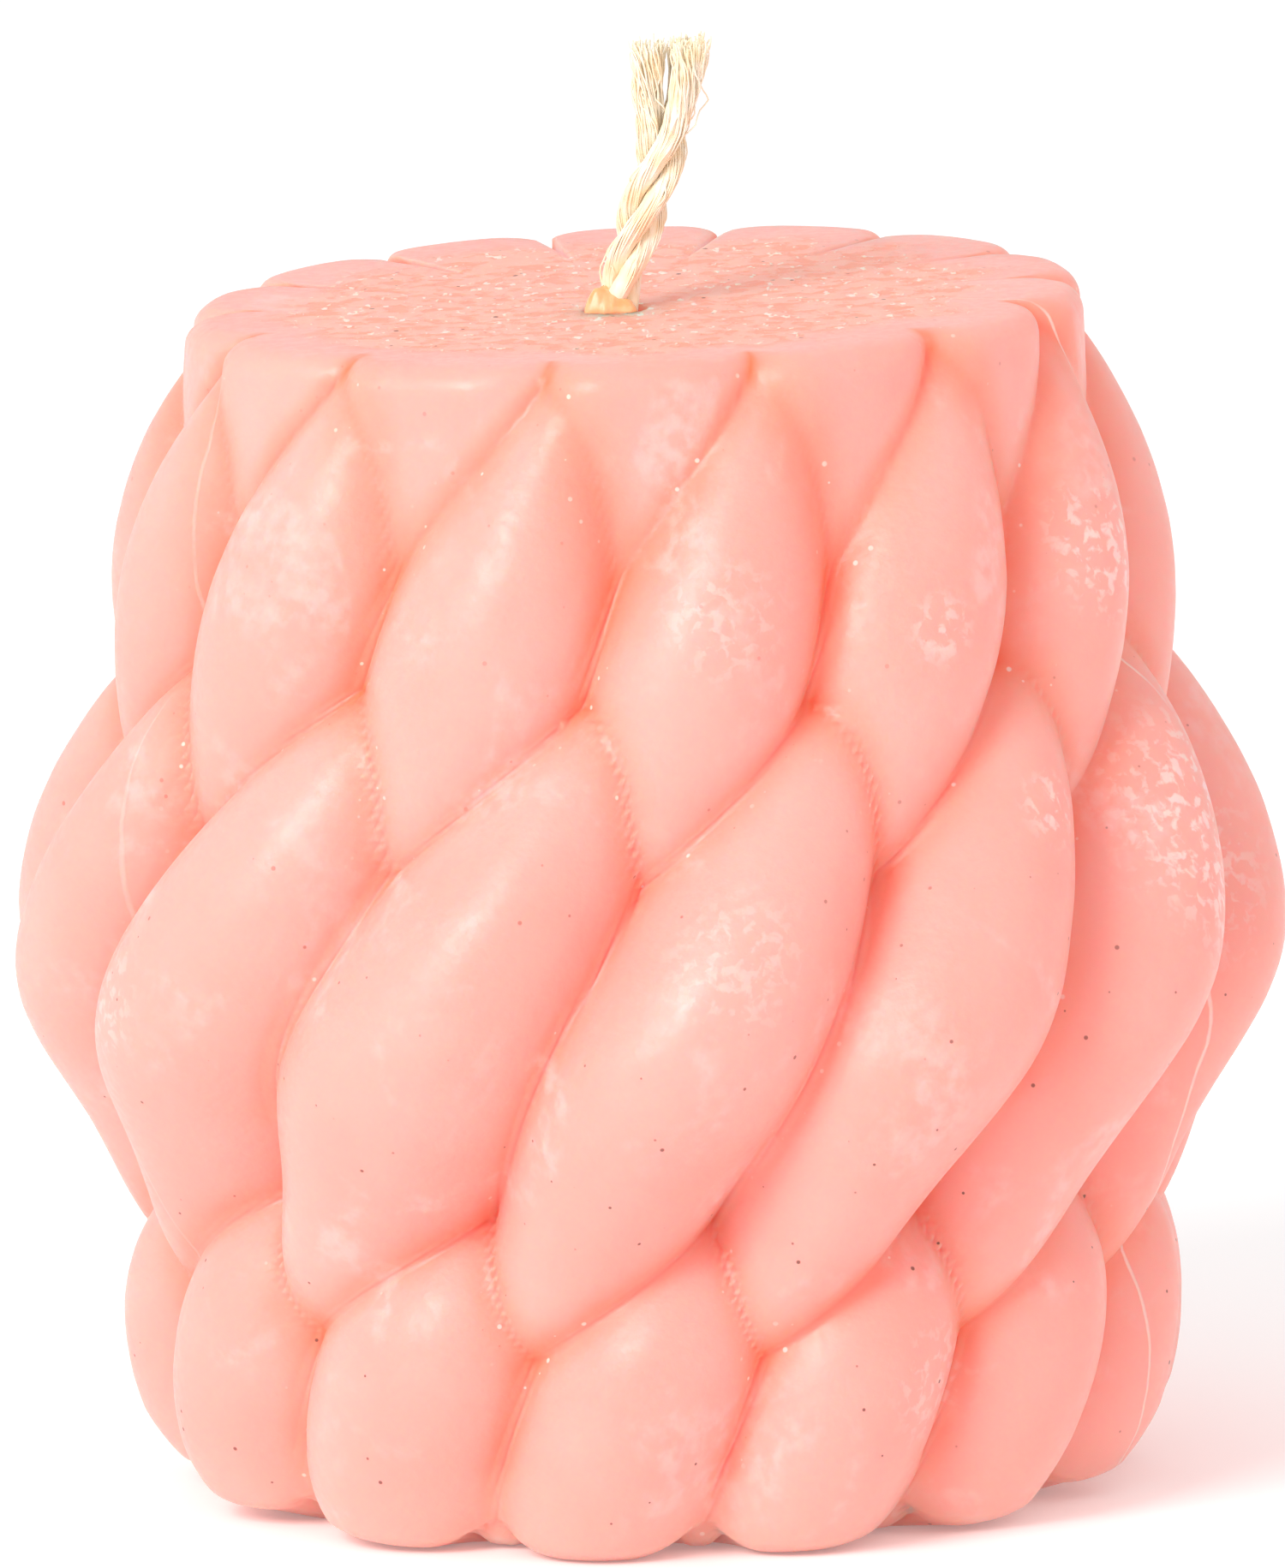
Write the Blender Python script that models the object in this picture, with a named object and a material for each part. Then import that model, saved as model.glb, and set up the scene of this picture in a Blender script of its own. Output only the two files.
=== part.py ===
"""Braided pillar candle: a moulded wax body with rows of leaning lobes and a three-ply wick.

Units are metres, +Z is up, and the origin is on the axis in the plane that the candle rests on.
The wax is one casting. Its side is the highest of four rows of leaf-shaped swellings, which meet
one another in creases. The wick is three twisted plies that run from the base to the frayed tip,
and a bead of primer wax holds them where they leave the top face.
"""
import math
from collections import namedtuple

import bmesh
import bpy

# Wax body: its height, the plain body inside the lobes, and how its top and foot are finished
LOBES_PER_ROW = 14
HEIGHT = 0.0702
CORE_TOP_RADIUS = 0.0212
CORE_FOOT_RADIUS = 0.0236
TOP_EDGE_RADIUS = 0.0012
FOOT_EDGE_INSET = 0.0024
FOOT_EDGE_RISE = 0.0014
RIM_NOTCH_DEPTH = 0.0012
RIM_NOTCH_HEIGHT = 0.0048
CREASE_SOFTNESS = 0.0007
CREASE_REACH = 0.0045
TOP_TILT = math.radians(1.3)
TILT_FROM = 0.0507

# Wick and its bead
WICK_OFFSET_X = -0.0010
WICK_OFFSET_Y = -0.0045
PLY_DIAMETER = 0.00125
PLY_CLEARANCE = 0.0004
LAY_LENGTH = 0.0120
WICK_FREE_LENGTH = 0.0163
SPLIT_LENGTH = 0.0058
TIP_SPREAD = 0.0007
WICK_LEAN = math.radians(18.5)
UPRIGHT_FROM = 0.0065
UPRIGHT_RADIUS = 0.025
WICK_RECESS = 0.0003
BEAD_HEIGHT = 0.0013
BEAD_WIDTH = 0.0011
BEAD_LOPSIDE = 0.0007
SEAT_GAP = 0.0003

# Mesh fineness
COLUMNS_PER_LOBE = 8
LEVELS = 50
EDGE_CROWDING = 0.5
CREASE_SEARCH_STEPS = 8
BORE_SIDES = 24
BEAD_SIDES = 24
STEPS_PER_LAY = 9

# Colours, as linear RGB
WAX_PINK = (0.93, 0.47, 0.38, 1.0)
COTTON_CREAM = (0.93, 0.80, 0.58, 1.0)
PRIMER_AMBER = (0.93, 0.66, 0.38, 1.0)

PITCH = 2.0 * math.pi / LOBES_PER_ROW
WICK_HELIX_RADIUS = (PLY_DIAMETER + PLY_CLEARANCE) / math.sqrt(3.0)
WICK_RADIUS = WICK_HELIX_RADIUS + PLY_DIAMETER / 2
BORE_RADIUS = WICK_RADIUS + SEAT_GAP

# A row of lobes: the height of a lobe's middle and half its length, how far the first lobe is
# turned from the front, how far its upper tip is turned from its middle and how far it bends
# between them, half its width as a share of the pitch, the radius that it swells from and how far
# it swells, how much further out its upper tip lies than its middle, how full its sides and how
# round its ends are, and how much narrower it is at its tips. A lobe's broad middle is eased by a
# shared amount, so that it swells evenly there.
Row = namedtuple(
    "Row",
    "middle half_length turn lean bend half_width radius swell flare fullness roundness taper",
)
STUB_ROW = Row(
    middle=0.0783,
    half_length=0.0306,
    turn=math.radians(29.8),
    lean=math.radians(12.6),
    bend=math.radians(1.1),
    half_width=0.56,
    radius=0.0202,
    swell=0.0056,
    flare=-0.0025,
    fullness=0.51,
    roundness=3.2,
    taper=0.62,
)
UPPER_ROW = Row(
    middle=0.0549,
    half_length=0.0171,
    turn=math.radians(5.9),
    lean=math.radians(11.7),
    bend=math.radians(-0.7),
    half_width=0.63,
    radius=0.0199,
    swell=0.0115,
    flare=-0.0027,
    fullness=0.47,
    roundness=1.9,
    taper=0.30,
)
MIDDLE_ROW = Row(
    middle=0.0318,
    half_length=0.0189,
    turn=math.radians(1.3),
    lean=math.radians(17.5),
    bend=math.radians(-0.4),
    half_width=0.68,
    radius=0.0244,
    swell=0.0134,
    flare=0.0007,
    fullness=0.59,
    roundness=1.3,
    taper=0.0,
)
LOWER_ROW = Row(
    middle=0.0101,
    half_length=0.0129,
    turn=math.radians(-4.7),
    lean=math.radians(6.3),
    bend=math.radians(0.6),
    half_width=0.62,
    radius=0.0241,
    swell=0.0073,
    flare=0.0010,
    fullness=0.76,
    roundness=2.7,
    taper=0.13,
)
ROWS = (STUB_ROW, UPPER_ROW, MIDDLE_ROW, LOWER_ROW)
NARROWEST_SHARE = 0.2
MIDDLE_EASE = 0.06
SKIRT_STEEPNESS = 2.0

# The heights where the whole side is drawn in, how far up and down that reaches, and how deep
Waist = namedtuple("Waist", "height reach depth")
WAISTS = (
    Waist(0.0482, 0.0054, 0.0003),
    Waist(0.0222, 0.0063, 0.0017),
)

# The master was carved by eye: round these angles its pattern is turned or raised a little
Uneven = namedtuple("Uneven", "place turn rise")
CARVING_REACH = math.radians(22.0)
CARVING = (
    Uneven(math.radians(-60.0), math.radians(-5.9), 0.0001),
    Uneven(math.radians(-20.0), math.radians(0.9), -0.0010),
    Uneven(math.radians(20.0), math.radians(2.4), -0.0016),
    Uneven(math.radians(60.0), math.radians(4.9), 0.0006),
)


def material(name, colour, roughness, scatter):
    """A plain surface finish."""
    finish = bpy.data.materials.new(name)
    finish.use_nodes = True
    shader = finish.node_tree.nodes["Principled BSDF"]
    shader.inputs["Base Color"].default_value = colour
    shader.inputs["Roughness"].default_value = roughness
    shader.inputs["Metallic"].default_value = 0.0
    shader.inputs["Subsurface Weight"].default_value = scatter
    return finish


def add_object(name, mesh_from, finish):
    """Put a finished bmesh in the scene as a smooth-shaded object."""
    mesh = bpy.data.meshes.new(name)
    mesh_from.to_mesh(mesh)
    mesh_from.free()
    mesh.materials.append(finish)
    mesh.shade_smooth()
    mesh.set_sharp_from_angle(angle=math.radians(50.0))
    piece = bpy.data.objects.new(name, mesh)
    bpy.context.scene.collection.objects.link(piece)
    return piece


def smooth_max(first, second, reach):
    """The larger of two numbers, eased over where they differ by less than the reach."""
    near = max(reach - abs(first - second), 0.0) / reach
    return max(first, second) + near * near * near * reach / 6.0


def lobe_surfaces(row, angle, height):
    """How far out the nearest and the next nearest lobe of a row lie at an angle and height."""
    along = (height - row.middle) / row.half_length
    axis = row.turn + row.lean * along + row.bend * math.sin(math.pi * along)
    lane = (angle - axis) / PITCH
    nearest = abs(lane - round(lane))
    width = row.half_width * max(1.0 - row.taper * along * along, NARROWEST_SHARE)
    ends = (along * along + MIDDLE_EASE) ** (row.roundness / 2) - MIDDLE_EASE ** (row.roundness / 2)
    surfaces = []
    for aside in (nearest, 1.0 - nearest):
        inside = 1.0 - (aside / width) ** 2 - ends
        dome = max(inside, 0.0) ** row.fullness + SKIRT_STEEPNESS * min(inside, 0.0)
        surfaces.append(row.radius + row.flare * along + row.swell * dome)
    return surfaces


def edge_inset(distance, reach, inset):
    """How far a rounded edge is drawn in at a distance from the end."""
    share = min(max(1.0 - distance / reach, 0.0), 1.0)
    return inset * (1.0 - math.sqrt(1.0 - share * share))


def wall_radius(angle, height):
    """Radius of the side: the highest of the lobes there, with soft creases between them."""
    core = CORE_FOOT_RADIUS + (CORE_TOP_RADIUS - CORE_FOOT_RADIUS) * height / HEIGHT
    highest, rounded, blended = core, core, core
    for row in ROWS:
        for surface in lobe_surfaces(row, angle, height):
            highest = max(highest, surface)
            rounded = smooth_max(rounded, surface, CREASE_SOFTNESS)
            blended = smooth_max(blended, surface, CREASE_REACH)
    crease = (blended - highest) * 6.0 / CREASE_REACH
    radius = rounded
    for waist in WAISTS:
        radius -= waist.depth * math.exp(-(((height - waist.height) / waist.reach) ** 2))
    radius -= edge_inset(HEIGHT - height, TOP_EDGE_RADIUS, TOP_EDGE_RADIUS)
    radius -= edge_inset(height, FOOT_EDGE_RISE, FOOT_EDGE_INSET)
    near_rim = max(1.0 - (HEIGHT - height) / RIM_NOTCH_HEIGHT, 0.0)
    return radius - RIM_NOTCH_DEPTH * crease * near_rim


def carved(angle, height):
    """Angle and height of a point once the hand-carved unevenness is added."""
    turn, rise = 0.0, 0.0
    for spot in CARVING:
        away = (angle - spot.place + math.pi) % (2.0 * math.pi) - math.pi
        nearness = math.exp(-0.5 * (away / CARVING_REACH) ** 2)
        turn += spot.turn * nearness
        rise += spot.rise * nearness
    return angle + turn, height + rise * math.sin(math.pi * height / HEIGHT)


def tilted_height(x, height):
    """Height of a point once the top face is trimmed with its small tilt."""
    share = max(0.0, (height - TILT_FROM) / (HEIGHT - TILT_FROM))
    return height + x * math.tan(TOP_TILT) * share * share


def column_turn(height):
    """How far the mesh's columns are turned at a height, so that they follow the lean of the lobes."""
    turn = MIDDLE_ROW.turn
    upper_meeting = (UPPER_ROW.middle + MIDDLE_ROW.middle) / 2
    lower_meeting = (MIDDLE_ROW.middle + LOWER_ROW.middle) / 2
    inside = min(max(height, lower_meeting), upper_meeting) - MIDDLE_ROW.middle
    turn += inside * MIDDLE_ROW.lean / MIDDLE_ROW.half_length
    turn += max(height - upper_meeting, 0.0) * UPPER_ROW.lean / UPPER_ROW.half_length
    turn += min(height - lower_meeting, 0.0) * LOWER_ROW.lean / LOWER_ROW.half_length
    return turn


def lobe_at(angle, height):
    """Which row and which of its lobes stand out furthest at an angle and height."""
    furthest, lobe = -math.inf, None
    for number, row in enumerate(ROWS):
        surface = lobe_surfaces(row, angle, height)[0]
        if surface > furthest:
            along = (height - row.middle) / row.half_length
            axis = row.turn + row.lean * along + row.bend * math.sin(math.pi * along)
            furthest, lobe = surface, (number, round((angle - axis) / PITCH))
    return lobe


def crease_share(first, second):
    """How far along the line between two points of the side the next lobe begins."""
    home = lobe_at(*first)
    low, high = 0.0, 1.0
    for _ in range(CREASE_SEARCH_STEPS):
        middle = (low + high) / 2
        angle = first[0] + (second[0] - first[0]) * middle
        height = first[1] + (second[1] - first[1]) * middle
        if lobe_at(angle, height) == home:
            low = middle
        else:
            high = middle
    return (low + high) / 2


def side_net():
    """Angles and heights of the side's mesh points, level by level, drawn onto the creases."""
    columns = LOBES_PER_ROW * COLUMNS_PER_LOBE
    net = []
    for level in range(LEVELS + 1):
        share = level / LEVELS
        share -= EDGE_CROWDING * math.sin(2.0 * math.pi * share) / (2.0 * math.pi)
        height = HEIGHT * share
        turn = column_turn(height)
        net.append([(turn + 2.0 * math.pi * column / columns, height) for column in range(columns + 1)])
    nearest = {}
    for level in range(LEVELS + 1):
        for column in range(columns):
            here = (level, column)
            for beyond in ((level, column + 1), (level + 1, column)):
                if beyond[0] > LEVELS:
                    continue
                first, second = net[level][column], net[beyond[0]][beyond[1]]
                if lobe_at(*first) == lobe_at(*second):
                    continue
                share = crease_share(first, second)
                mover, pull, target = (here, share, second) if share < 0.5 else (beyond, 1.0 - share, first)
                on_edge = mover[0] in (0, LEVELS)
                if on_edge and here[0] != beyond[0]:
                    continue
                if pull < nearest.get(mover, (1.0,))[0]:
                    nearest[mover] = (pull, target)
    drawn = [list(line) for line in net]
    for (level, column), (pull, target) in nearest.items():
        angle, height = net[level][column]
        moved = (angle + (target[0] - angle) * pull, height + (target[1] - height) * pull)
        drawn[level][column] = moved
    for line in drawn:
        line[columns] = (line[0][0] + 2.0 * math.pi, line[0][1])
    return drawn


def add_side(body):
    """Skin the lobed side, each cell of its net cut along the diagonal that follows the surface."""
    net = side_net()
    columns = LOBES_PER_ROW * COLUMNS_PER_LOBE
    radii = [[wall_radius(*point) for point in line] for line in net]
    verts = []
    for line, line_radii in zip(net, radii):
        ring = []
        for (angle, height), radius in zip(line[:columns], line_radii):
            turned, raised = carved(angle, height)
            x = radius * math.sin(turned)
            ring.append(body.verts.new((x, -radius * math.cos(turned), tilted_height(x, raised))))
        verts.append(ring + ring[:1])
    for level in range(LEVELS):
        for column in range(columns):
            cell = ((level, column), (level, column + 1), (level + 1, column + 1), (level + 1, column))
            corners = [net[row][place] for row, place in cell]
            centre = wall_radius(
                sum(corner[0] for corner in corners) / 4, sum(corner[1] for corner in corners) / 4
            )
            radius = [radii[row][place] for row, place in cell]
            vert = [verts[row][place] for row, place in cell]
            if abs(radius[0] + radius[2] - 2.0 * centre) < abs(radius[1] + radius[3] - 2.0 * centre):
                halves = ((0, 1, 2), (0, 2, 3))
            else:
                halves = ((0, 1, 3), (1, 2, 3))
            for half in halves:
                body.faces.new([vert[corner] for corner in half])


def add_bore_ring(body, height):
    """A circle of the wick's bore."""
    ring = []
    for side in range(BORE_SIDES):
        angle = 2.0 * math.pi * side / BORE_SIDES
        x = WICK_OFFSET_X + BORE_RADIUS * math.cos(angle)
        y = WICK_OFFSET_Y + BORE_RADIUS * math.sin(angle)
        ring.append(body.verts.new((x, y, tilted_height(x, height))))
    return ring


def wax_body(finish):
    """The casting: lobed side, trimmed top, flat base and the bore for the wick."""
    body = bmesh.new()
    add_side(body)
    outlines = [edge for edge in body.edges if edge.is_boundary]
    rim = [edge for edge in outlines if edge.verts[0].co.z > HEIGHT / 2]
    foot = [edge for edge in outlines if edge.verts[0].co.z < HEIGHT / 2]
    upper = add_bore_ring(body, HEIGHT)
    lower = add_bore_ring(body, 0.0)
    for side in range(BORE_SIDES):
        after = (side + 1) % BORE_SIDES
        body.faces.new((upper[side], upper[after], lower[after], lower[side]))
        rim.append(body.edges.get((upper[side], upper[after])))
        foot.append(body.edges.get((lower[side], lower[after])))
    bmesh.ops.triangle_fill(body, use_beauty=True, edges=rim, normal=(0.0, 0.0, 1.0))
    bmesh.ops.triangle_fill(body, use_beauty=True, edges=foot, normal=(0.0, 0.0, -1.0))
    bmesh.ops.recalc_face_normals(body, faces=body.faces[:])
    return add_object("wax_body", body, finish)


def wick_centre(height):
    """The wick's middle line: straight up the bore, leaning from the bead, then bending upright."""
    free = max(0.0, height - HEIGHT - SEAT_GAP)
    leaned = math.tan(WICK_LEAN) * free * free / (free + PLY_DIAMETER)
    bent = max(0.0, free - UPRIGHT_FROM)
    return WICK_OFFSET_X + leaned - bent * bent / (2.0 * UPRIGHT_RADIUS), WICK_OFFSET_Y


def ply_point(ply, height):
    """A point on the middle of one ply, which leaves its helix and spreads near the tip."""
    split = HEIGHT + WICK_FREE_LENGTH - SPLIT_LENGTH
    twist = 2.0 * math.pi * (min(height, split) - split) / LAY_LENGTH
    angle = math.pi + twist + ply * 2.0 * math.pi / 3.0
    opened = max(0.0, (height - split) / SPLIT_LENGTH)
    radius = WICK_HELIX_RADIUS + TIP_SPREAD * opened * opened
    x, y = wick_centre(height)
    return x + radius * math.cos(angle), y + radius * math.sin(angle), height


def wick_ply(ply, finish):
    """One cotton ply, a round strand along its twisted path."""
    name = "wick_ply_%d" % (ply + 1)
    curve = bpy.data.curves.new(name, "CURVE")
    curve.dimensions = "3D"
    curve.bevel_depth = PLY_DIAMETER / 2
    curve.bevel_resolution = 1
    curve.use_fill_caps = True
    curve.materials.append(finish)
    length = HEIGHT + WICK_FREE_LENGTH - WICK_RECESS
    steps = math.ceil(length / LAY_LENGTH * STEPS_PER_LAY)
    path = curve.splines.new("POLY")
    path.points.add(steps)
    for step in range(steps + 1):
        x, y, z = ply_point(ply, WICK_RECESS + length * step / steps)
        path.points[step].co = (x, y, z, 1.0)
    piece = bpy.data.objects.new(name, curve)
    bpy.context.scene.collection.objects.link(piece)
    return piece


def bead_section(angle):
    """The bead's outline at one angle round the wick, as distances out from it and up."""
    fuller = (1.0 - math.cos(angle)) / 2
    width = BEAD_WIDTH + BEAD_LOPSIDE * fuller
    crown = BEAD_HEIGHT * (0.6 + 0.4 * fuller)
    return (
        (0.0, 0.0),
        (width, 0.0),
        (width * 0.85, crown * 0.45),
        (width * 0.5, crown * 0.85),
        (0.0, crown),
    )


def wick_bead(finish):
    """The bead of primer wax round the wick's foot, thicker on its left side."""
    bead = bmesh.new()
    rings = []
    for side in range(BEAD_SIDES):
        angle = 2.0 * math.pi * side / BEAD_SIDES
        ring = []
        for out, rise in bead_section(angle):
            x = WICK_OFFSET_X + (BORE_RADIUS + out) * math.cos(angle)
            y = WICK_OFFSET_Y + (BORE_RADIUS + out) * math.sin(angle)
            ring.append(bead.verts.new((x, y, tilted_height(x, HEIGHT) + SEAT_GAP + rise)))
        rings.append(ring)
    for side in range(BEAD_SIDES):
        here, after = rings[side], rings[(side + 1) % BEAD_SIDES]
        for corner in range(len(here)):
            beyond = (corner + 1) % len(here)
            bead.faces.new((here[corner], after[corner], after[beyond], here[beyond]))
    bmesh.ops.recalc_face_normals(bead, faces=bead.faces[:])
    return add_object("wick_bead", bead, finish)


for old in list(bpy.data.objects):
    bpy.data.objects.remove(old)
wax = material("pink_wax", WAX_PINK, 0.5, 0.3)
cotton = material("primed_cotton", COTTON_CREAM, 0.8, 0.1)
primer = material("primer_wax", PRIMER_AMBER, 0.35, 0.2)
wax_body(wax)
for strand in range(3):
    wick_ply(strand, cotton)
wick_bead(primer)
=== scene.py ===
import math
from collections import namedtuple

import bmesh
import bpy
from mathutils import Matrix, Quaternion, Vector, noise


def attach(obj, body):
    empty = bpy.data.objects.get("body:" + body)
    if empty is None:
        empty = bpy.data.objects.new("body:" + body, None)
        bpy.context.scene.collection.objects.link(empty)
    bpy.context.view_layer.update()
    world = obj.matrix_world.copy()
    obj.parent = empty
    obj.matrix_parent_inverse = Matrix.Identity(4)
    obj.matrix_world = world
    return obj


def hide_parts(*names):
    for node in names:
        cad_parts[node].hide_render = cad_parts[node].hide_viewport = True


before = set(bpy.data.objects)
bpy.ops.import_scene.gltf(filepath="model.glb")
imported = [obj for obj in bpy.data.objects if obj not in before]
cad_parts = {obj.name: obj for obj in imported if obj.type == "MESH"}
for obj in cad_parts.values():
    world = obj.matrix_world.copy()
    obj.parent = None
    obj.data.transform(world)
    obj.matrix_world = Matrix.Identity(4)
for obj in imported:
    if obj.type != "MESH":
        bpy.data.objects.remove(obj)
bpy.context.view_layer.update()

# Camera, at the photograph's viewing angle: about two metres away through a long lens, looking
# down a little. A length in the picture becomes a real length by the size of one of its pixels.
# Its distance and elevation are measured from a pivot on the candle's axis.
PIXEL = 0.0502e-3
PICTURE_WIDTH = 1500
CAMERA_DISTANCE = 2.008
CAMERA_ELEVATION = math.radians(9.8)
CAMERA_ROLL = math.radians(-1.25)
PIVOT_HEIGHT = 0.03614
AIM_POINT = Vector((-0.00017, 0.0, 0.04127))
SENSOR_WIDTH = 36.0
CLIP_START = 0.01

rise = CAMERA_DISTANCE * math.sin(CAMERA_ELEVATION)
reach = CAMERA_DISTANCE * math.cos(CAMERA_ELEVATION)
lens_data = bpy.data.cameras.new("photo_view")
lens_data.sensor_fit = "HORIZONTAL"
lens_data.sensor_width = SENSOR_WIDTH
lens_data.lens = SENSOR_WIDTH * CAMERA_DISTANCE / (PICTURE_WIDTH * PIXEL)
lens_data.clip_start = CLIP_START
camera = bpy.data.objects.new("photo_view", lens_data)
camera.location = (0.0, -reach, PIVOT_HEIGHT + rise)
aim = AIM_POINT - camera.location
camera.rotation_mode = "QUATERNION"
camera.rotation_quaternion = aim.to_track_quat("-Z", "Y") @ Quaternion((0.0, 0.0, 1.0), CAMERA_ROLL)
bpy.context.scene.collection.objects.link(camera)
bpy.context.scene.camera = camera
bpy.context.scene.view_settings.view_transform = "Standard"


# Studio: a pale matt floor that glows a little, a large soft light in front on the left, and an
# even surround that the camera sees as plain white.
WHITE = (1.0, 1.0, 1.0, 1.0)
SURROUND_LIGHT = 0.86
KEY_PLACE = Vector((-0.54, -0.72, 0.60))
KEY_TARGET = Vector((0.0, 0.0, 0.04))
KEY_SIZE = 0.42
KEY_WATTS = 7.2
KEY_COLOUR = (1.0, 0.99, 0.98)
FLOOR_SIZE = 6.0
FLOOR_COLOUR = (0.96, 0.96, 0.96, 1.0)
FLOOR_GLOW = 0.14
FLOOR_ROUGHNESS = 0.9

surround = bpy.data.worlds.new("studio")
surround.use_nodes = True
around = surround.node_tree
even = around.nodes["Background"]
even.inputs["Color"].default_value = WHITE
even.inputs["Strength"].default_value = SURROUND_LIGHT
backdrop = around.nodes.new("ShaderNodeBackground")
backdrop.inputs["Color"].default_value = WHITE
seen = around.nodes.new("ShaderNodeLightPath")
either = around.nodes.new("ShaderNodeMixShader")
around.links.new(seen.outputs["Is Camera Ray"], either.inputs[0])
around.links.new(even.outputs[0], either.inputs[1])
around.links.new(backdrop.outputs[0], either.inputs[2])
around.links.new(either.outputs[0], around.nodes["World Output"].inputs["Surface"])
bpy.context.scene.world = surround

key_data = bpy.data.lights.new("key", "AREA")
key_data.size = KEY_SIZE
key_data.energy = KEY_WATTS
key_data.color = KEY_COLOUR
key = bpy.data.objects.new("key", key_data)
key.location = KEY_PLACE
key.rotation_euler = (KEY_TARGET - KEY_PLACE).to_track_quat("-Z", "Y").to_euler()
bpy.context.scene.collection.objects.link(key)

floor_mesh = bpy.data.meshes.new("floor")
floor_cut = bmesh.new()
bmesh.ops.create_grid(floor_cut, x_segments=1, y_segments=1, size=FLOOR_SIZE)
floor_cut.to_mesh(floor_mesh)
floor_cut.free()
floor = bpy.data.objects.new("floor", floor_mesh)
bpy.context.scene.collection.objects.link(floor)
floor_paint = bpy.data.materials.new("pale_floor")
floor_paint.use_nodes = True
floor_shader = floor_paint.node_tree.nodes["Principled BSDF"]
floor_shader.inputs["Base Color"].default_value = FLOOR_COLOUR
floor_shader.inputs["Emission Color"].default_value = WHITE
floor_shader.inputs["Emission Strength"].default_value = FLOOR_GLOW
floor_shader.inputs["Roughness"].default_value = FLOOR_ROUGHNESS
floor_mesh.materials.append(floor_paint)


# Wax body: one casting of pink candle wax, poured in a soft mould taken from a hand-carved master.
# Its side is four rows of leaning, leaf-shaped lobes that swell out of one another, fourteen to a
# row. Its top was trimmed flat with a knife, and its foot is the mould's open end.
HEIGHT = 0.0702
LOBES_PER_ROW = 14
PITCH = math.tau / LOBES_PER_ROW
CORE_TOP_RADIUS = 0.0212
CORE_FOOT_RADIUS = 0.0236

# A row of lobes, in metres and radians. The middle's height and half the length; how far the first
# lobe is turned from the front, how far its tip is turned from its middle, and how far it bends
# between them; half the width as a share of the pitch; the radius that a lobe swells from, how far
# it swells, and how much further out its upper tip lies than its middle; how full its sides are and
# how round its ends; how much narrower it is at its tips; how flat its crown is from side to side.
Row = namedtuple(
    "Row",
    "middle half_length turn lean bend half_width radius swell flare fullness roundness taper crown",
)
ROWS = (
    Row(
        middle=0.0783, half_length=0.0306, turn=math.radians(29.8), lean=math.radians(12.6),
        bend=math.radians(1.1), half_width=0.56, radius=0.0202, swell=0.0056,
        flare=-0.0025, fullness=0.51, roundness=3.2, taper=0.62, crown=3.6,
    ),
    Row(
        middle=0.0549, half_length=0.0171, turn=math.radians(5.9), lean=math.radians(11.7),
        bend=math.radians(-0.7), half_width=0.63, radius=0.0199, swell=0.0115,
        flare=-0.0027, fullness=0.47, roundness=1.9, taper=0.30, crown=2.0,
    ),
    Row(
        middle=0.0318, half_length=0.0189, turn=math.radians(1.3), lean=math.radians(17.5),
        bend=math.radians(-0.4), half_width=0.68, radius=0.0244, swell=0.0134,
        flare=0.0007, fullness=0.59, roundness=1.3, taper=0.0, crown=2.0,
    ),
    Row(
        middle=0.0101, half_length=0.0129, turn=math.radians(-4.7), lean=math.radians(6.3),
        bend=math.radians(0.6), half_width=0.62, radius=0.0241, swell=0.0073,
        flare=0.0010, fullness=0.76, roundness=2.7, taper=0.13, crown=2.0,
    ),
)

# How gently a lobe's ends set in, its least width as a share of its middle, and how fast its
# surface falls away beyond its edge
MIDDLE_EASE = 0.06
NARROWEST = 0.2
SKIRT_FALL = 2.0

# The heights where the whole side is drawn in, how far up and down that reaches, and how deep
Waist = namedtuple("Waist", "height reach depth")
WAISTS = (Waist(0.0482, 0.0054, 0.0003), Waist(0.0222, 0.0063, 0.0017))

# The master was carved by eye: round these angles its pattern is turned or raised a little
Uneven = namedtuple("Uneven", "place turn rise")
CARVING_REACH = math.radians(22.0)
CARVING = (
    Uneven(math.radians(-60.0), math.radians(-5.9), 0.0001),
    Uneven(math.radians(-20.0), math.radians(0.9), -0.0010),
    Uneven(math.radians(20.0), math.radians(2.4), -0.0016),
    Uneven(math.radians(60.0), math.radians(4.9), 0.0006),
)

# The knife's cut rises a little to the right and to the back. The side leans with it from this
# height up.
TOP_TILT = math.radians(1.3)
TOP_PITCH = math.radians(0.6)
TILT_FROM = 0.0507

# Creases. Where two surfaces are level, their smooth maximum lies a sixth of its reach above them,
# so that this factor makes it 1 there. A crease counts for no more than the second number.
LEVEL_FACTOR = 6.0
DEEPEST_CREASE = 1.6

# The rim and the foot. Creases are filled up to this far from the rim or foot, more so in front,
# and bite into the rim behind: each pair is the change with the cosine of the bearing, and the
# value at the side. Bites reach some times as far as the rounded edge does.
FILL_REACH = 0.0060
FRONT_FILL = (1.2, 0.2)
BACK_BITE = (-1.15, 0.15)
RIM_BITE_REACH = 4.0
RIM_DIP = 0.5
FOOT_BITE_REACH = 2.0
FOOT_RAGGEDNESS = 2000.0
LIFT_REACH = 0.0050
LIFT_SIDEWAYS = 3.0

# Lumps: how many to a metre across for the carver's hand and for the skin, in how much detail, and
# how far the skin is set in, as a share of its unevenness
HAND_SCALE, HAND_DETAIL = 75.0, 1.0
SKIN_SCALE, SKIN_DETAIL = 160.0, 2.0
SKIN_INSET = -0.35


def add_node(tree, kind, inputs=None, **settings):
    """Add a node, set it up, and give its inputs their values or link them to other nodes."""
    made = tree.nodes.new(kind)
    for setting, value in settings.items():
        setattr(made, setting, value)
    for socket, value in (inputs or {}).items():
        if isinstance(value, bpy.types.NodeSocket):
            tree.links.new(value, made.inputs[socket])
        else:
            made.inputs[socket].default_value = value
    return made


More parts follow.
